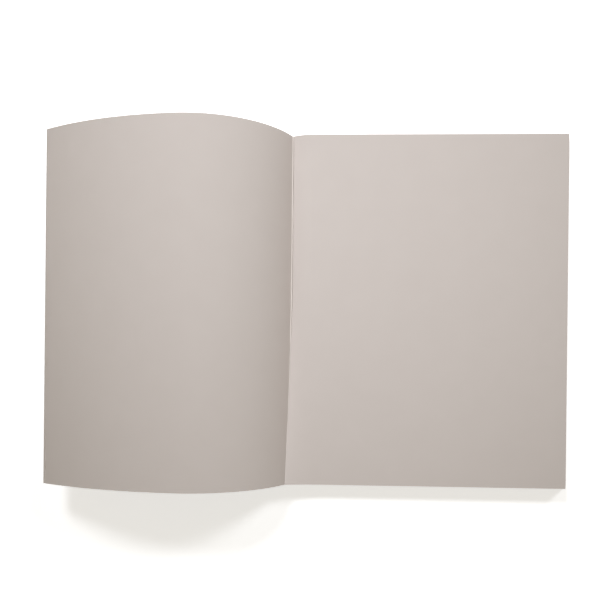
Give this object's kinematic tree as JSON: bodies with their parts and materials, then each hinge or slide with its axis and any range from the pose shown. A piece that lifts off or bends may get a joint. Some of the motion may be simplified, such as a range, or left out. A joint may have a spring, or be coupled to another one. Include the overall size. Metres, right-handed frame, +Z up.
{
  "type": "open book",
  "caption": "Open soft-bound book with blank pages: flat leaves on the back cover, turned leaves and front cover springing up in an arch.",
  "frame": {"origin": "on the table, in the middle of the open book's footprint", "axes": "+X to the right page's fore-edge, +Y to the head of the pages, +Z up"},
  "size_m": [0.4114, 0.276, 0.0583],
  "materials": {
    "page_paper": "matt uncoated",
    "cover_card": "matt card",
    "binding_glue": "satin"
  },
  "bodies": {
    "book_block": {"page_block": "page_paper", "spine_glue": "binding_glue", "cover_spine": "cover_card"},
    "front_half": {"front_cover": "cover_card", "turned_pages": "page_paper"},
    "back_cover": {"back_cover": "cover_card"}
  },
  "joints": [
    {"name": "front_cover_hinge", "type": "hinge", "parent": "book_block", "child": "front_half", "pos_m": [-0.014, 0, 0.0086], "axis": [0, 1, 0], "range_deg": [-7, 90], "stiffness_Nm_per_rad": 0.0431, "springref_deg": 57.3},
    {"name": "back_cover_hinge", "type": "hinge", "parent": "book_block", "child": "back_cover", "pos_m": [-0.0114, 0, 0], "axis": [0, 1, 0], "range_deg": [0, 180]}
  ]
}
